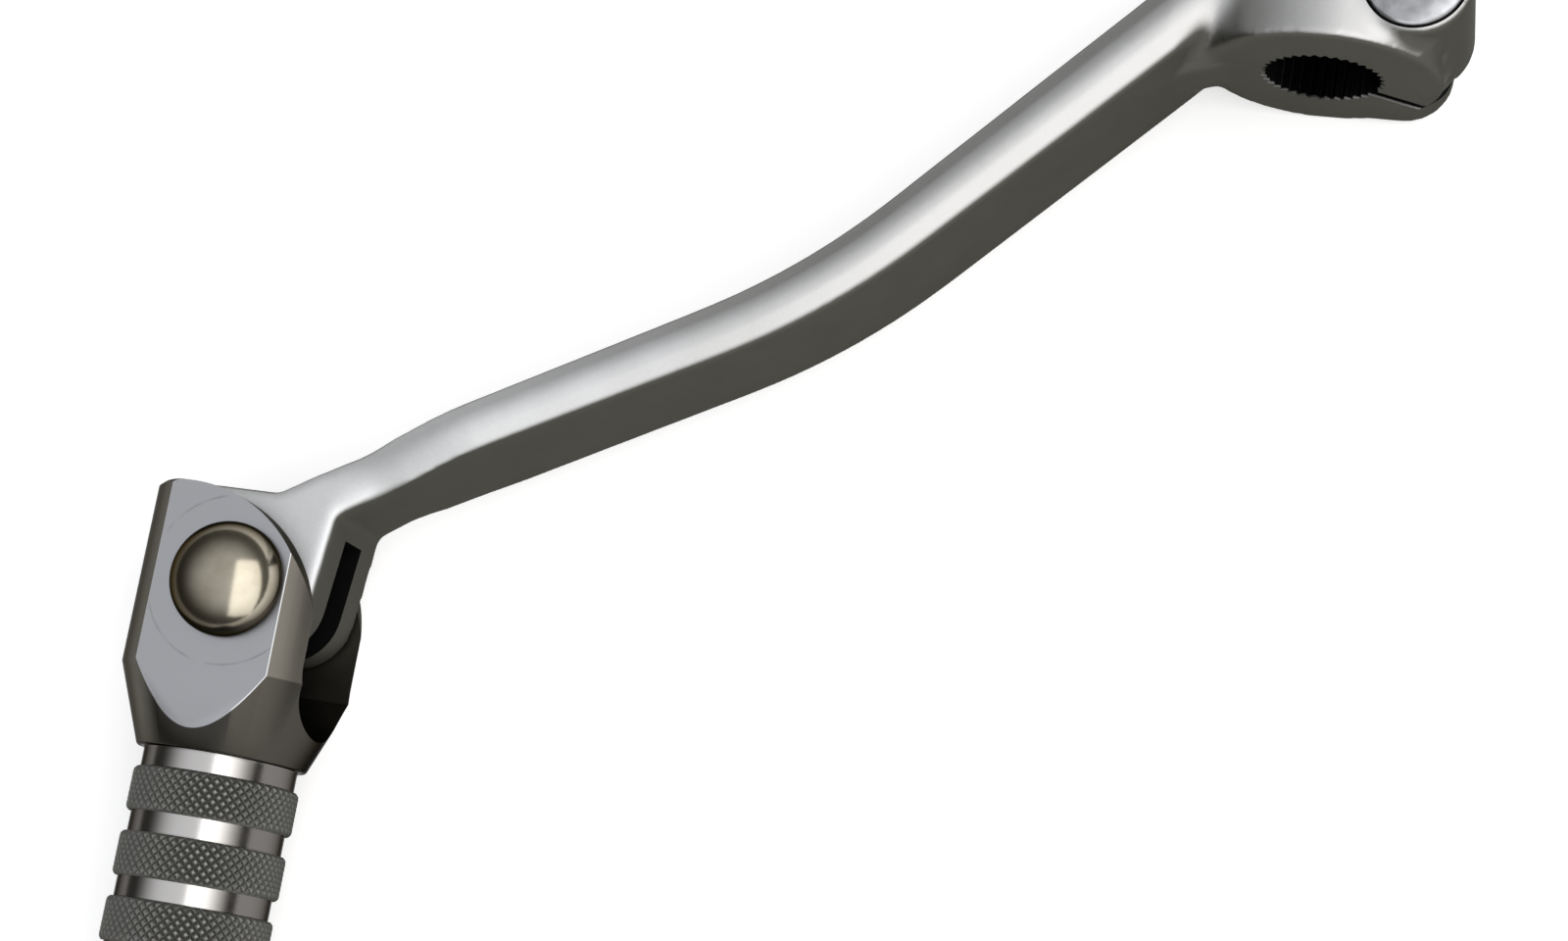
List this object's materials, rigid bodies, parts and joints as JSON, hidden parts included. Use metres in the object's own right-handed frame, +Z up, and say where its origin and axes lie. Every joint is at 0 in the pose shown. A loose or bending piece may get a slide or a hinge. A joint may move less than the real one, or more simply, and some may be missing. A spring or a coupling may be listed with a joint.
{
  "type": "gear shift lever",
  "caption": "Folding gear shift lever for an off-road motorcycle: forged arm with a splined clamp hub and a sprung toe tip with a knurled barrel.",
  "frame": {"origin": "under the middle of the part's bounding box, on the surface that the lever lies on", "axes": "+X forward from the spindle hub to the toe tip, +Y outboard from the engine along the bore and the barrel, +Z up along the fold pin, from the riveted tail to the domed head"},
  "size_m": [0.128, 0.1306, 0.0262],
  "materials": {
    "forged_aluminium": "satin",
    "machined_aluminium": "satin",
    "polished_steel": "polished",
    "plated_steel": "satin",
    "spring_steel": "satin"
  },
  "bodies": {
    "arm": {"lever_arm": "forged_aluminium", "clamp_bolt": "plated_steel", "return_spring": "spring_steel"},
    "tip": {"folding_tip": "machined_aluminium", "fold_pin": "polished_steel", "pin_washer": "plated_steel"}
  },
  "joints": [
    {"name": "tip_fold", "type": "hinge", "parent": "arm", "child": "tip", "pos_m": [0.05108, 0.0148, 0.012], "axis": [0, 0, 1], "range_deg": [0, 80], "stiffness_Nm_per_rad": 0.25, "springref_deg": -57.3, "deforming": ["return_spring"]}
  ]
}
